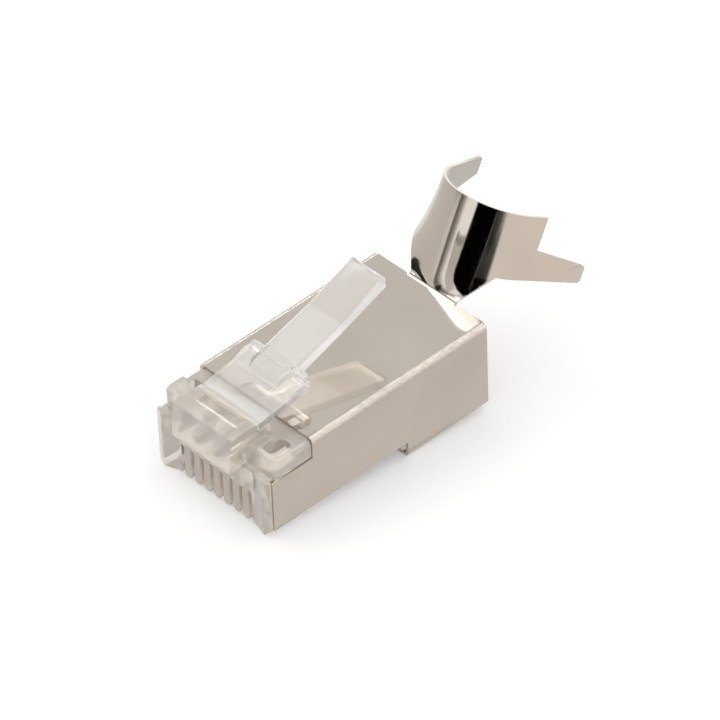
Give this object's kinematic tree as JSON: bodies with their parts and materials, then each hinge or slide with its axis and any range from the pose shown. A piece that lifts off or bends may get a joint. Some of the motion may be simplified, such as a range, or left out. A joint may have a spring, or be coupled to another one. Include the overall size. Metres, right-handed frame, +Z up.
{
  "type": "rj45 modular plug",
  "caption": "Shielded modular plug for network cable, with a clear moulded nose and spring latch, a folded metal shield and a bent-up crimp saddle with pronged wings.",
  "frame": {"origin": "below the middle of the whole plug, at the level of the underside of the shield's deep rear part", "axes": "+Y from the contact comb to the cable end, +Z up to the latch side, +X to the right seen from behind with the latch up"},
  "size_m": [0.0118, 0.0332, 0.0145],
  "materials": {
    "clear_moulding": "clear, polished moulding",
    "clear_latch": "clear, slightly frosted moulding",
    "plated_sheet": "bright nickel plating on rolled sheet",
    "gold_contact": "gold plating"
  },
  "bodies": {
    "plug": {"housing": "clear_moulding", "shield": "plated_sheet", "contact_1": "gold_contact", "contact_2": "gold_contact", "contact_3": "gold_contact", "contact_4": "gold_contact", "contact_5": "gold_contact", "contact_6": "gold_contact", "contact_7": "gold_contact", "contact_8": "gold_contact"},
    "latch": {"latch_lever": "clear_latch"}
  },
  "joints": [
    {"name": "latch_hinge", "type": "hinge", "parent": "plug", "child": "latch", "pos_m": [0, -0.01342, 0.00862], "axis": [-1, 0, 0], "range_deg": [0, 15], "stiffness_Nm_per_rad": 0.2}
  ]
}
